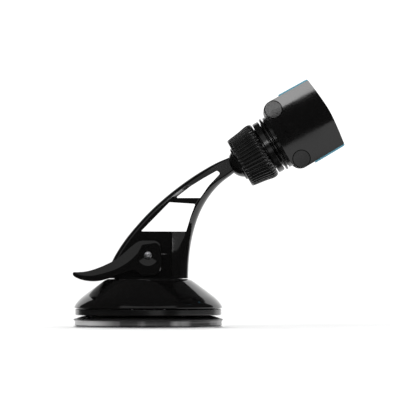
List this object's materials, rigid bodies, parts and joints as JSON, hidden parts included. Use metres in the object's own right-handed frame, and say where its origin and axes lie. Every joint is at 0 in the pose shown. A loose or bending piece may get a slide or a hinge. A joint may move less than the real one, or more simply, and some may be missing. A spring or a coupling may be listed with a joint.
{
  "type": "car phone mount",
  "caption": "Suction-base phone mount with a cam lever, a slanted windowed arm, a ball joint under a ribbed lock nut and a cradle with two sprung jaws.",
  "frame": {"origin": "centre of the suction face, on the surface the base is stuck to", "axes": "+Z away from the surface, +X the way the arm leans, -Y the side with the pin's drive recess"},
  "size_m": [0.1455, 0.08, 0.1322],
  "materials": {
    "gloss_black": "gloss",
    "satin_black": "satin",
    "cup_rubber": "satin",
    "gel": "soft gloss",
    "blue_rubber": "matte",
    "steel": "brushed",
    "spring_steel": "drawn wire",
    "nylon": "natural"
  },
  "bodies": {
    "base": {"gel_pad": "gel", "suction_cup": "cup_rubber", "pressure_ring": "satin_black", "base_dome": "gloss_black", "dome_screw_left": "steel", "dome_screw_right": "steel", "arm": "gloss_black", "return_spring": "spring_steel"},
    "plunger": {"pull_stem": "steel", "cross_pin": "steel", "pin_retainer": "steel"},
    "lever": {"cam_lever": "gloss_black"},
    "seat": {"ball_seat": "nylon"},
    "clamp": {"collet": "satin_black"},
    "head": {"neck": "satin_black", "neck_screw_1": "steel", "neck_screw_2": "steel", "neck_screw_3": "steel", "head_housing": "gloss_black", "front_plate": "satin_black", "rest_pad": "blue_rubber", "plate_screw_1": "steel", "plate_screw_2": "steel", "plate_screw_3": "steel", "plate_screw_4": "steel", "pinion_pin": "steel", "jaw_spring_near_upper": "spring_steel", "jaw_spring_near_lower": "spring_steel", "jaw_spring_far_upper": "spring_steel", "jaw_spring_far_lower": "spring_steel"},
    "nut_carrier": {"slip_ring": "satin_black"},
    "nut": {"lock_nut": "satin_black"},
    "gear": {"pinion": "nylon"},
    "jaw_near_side": {"jaw_near": "gloss_black", "jaw_liner_near": "blue_rubber", "rack_near": "nylon", "guide_rod_near_upper": "steel", "guide_rod_near_lower": "steel", "rod_cap_near_upper": "satin_black", "rod_cap_near_lower": "satin_black"},
    "jaw_far_side": {"jaw_far": "gloss_black", "jaw_liner_far": "blue_rubber", "rack_far": "nylon", "guide_rod_far_upper": "steel", "guide_rod_far_lower": "steel", "rod_cap_far_upper": "satin_black", "rod_cap_far_lower": "satin_black"}
  },
  "joints": [
    {"name": "lever_hinge", "type": "hinge", "parent": "plunger", "child": "lever", "pos_m": [0, 0, 0.0382], "axis": [0, 1, 0], "range_deg": [0, 90]},
    {"name": "plunger_slide", "type": "slide", "parent": "base", "child": "plunger", "axis": [0, 0, -1], "range_m": [0, 0.0025], "deforming": ["suction_cup", "gel_pad", "return_spring"]},
    {"name": "head_tilt", "type": "hinge", "parent": "base", "child": "seat", "pos_m": [0.0512, 0, 0.0884], "axis": [0, 1, 0], "range_deg": [-16, 16]},
    {"name": "head_swing", "type": "hinge", "parent": "seat", "child": "clamp", "pos_m": [0.0512, 0, 0.0884], "axis": [-0.497, 0, 0.8678], "range_deg": [-16, 16]},
    {"name": "head_spin", "type": "hinge", "parent": "clamp", "child": "head", "pos_m": [0.0512, 0, 0.0884], "axis": [0.8678, 0, 0.497], "range_deg": [-90, 90]},
    {"name": "lock_nut_turn", "type": "hinge", "parent": "nut_carrier", "child": "nut", "pos_m": [0.0512, 0, 0.0884], "axis": [-0.8678, 0, -0.497], "range_deg": [0, 180]},
    {"name": "lock_nut_advance", "type": "slide", "parent": "head", "child": "nut_carrier", "axis": [-0.8678, 0, -0.497], "range_m": [0, 0.001]},
    {"name": "jaw_near_slide", "type": "slide", "parent": "head", "child": "jaw_near_side", "axis": [0, -1, 0], "range_m": [0, 0.016], "stiffness_N_per_m": 80, "springref_m": -0.02, "deforming": ["jaw_spring_near_upper", "jaw_spring_near_lower"]},
    {"name": "jaw_far_slide", "type": "slide", "parent": "head", "child": "jaw_far_side", "axis": [0, 1, 0], "range_m": [0, 0.016], "deforming": ["jaw_spring_far_upper", "jaw_spring_far_lower"]},
    {"name": "pinion_turn", "type": "hinge", "parent": "head", "child": "gear", "pos_m": [0.07643, 0, 0.10371], "axis": [0.8678, 0, 0.497], "range_deg": [0, 153]}
  ],
  "couplings": [
    {"joint": "lever_hinge", "follows": "plunger_slide", "rad_per_m": 628.32},
    {"joint": "lock_nut_turn", "follows": "lock_nut_advance", "rad_per_m": 3141.6},
    {"joint": "jaw_far_slide", "follows": "jaw_near_slide", "ratio": 1},
    {"joint": "pinion_turn", "follows": "jaw_near_slide", "rad_per_m": 166.67}
  ]
}
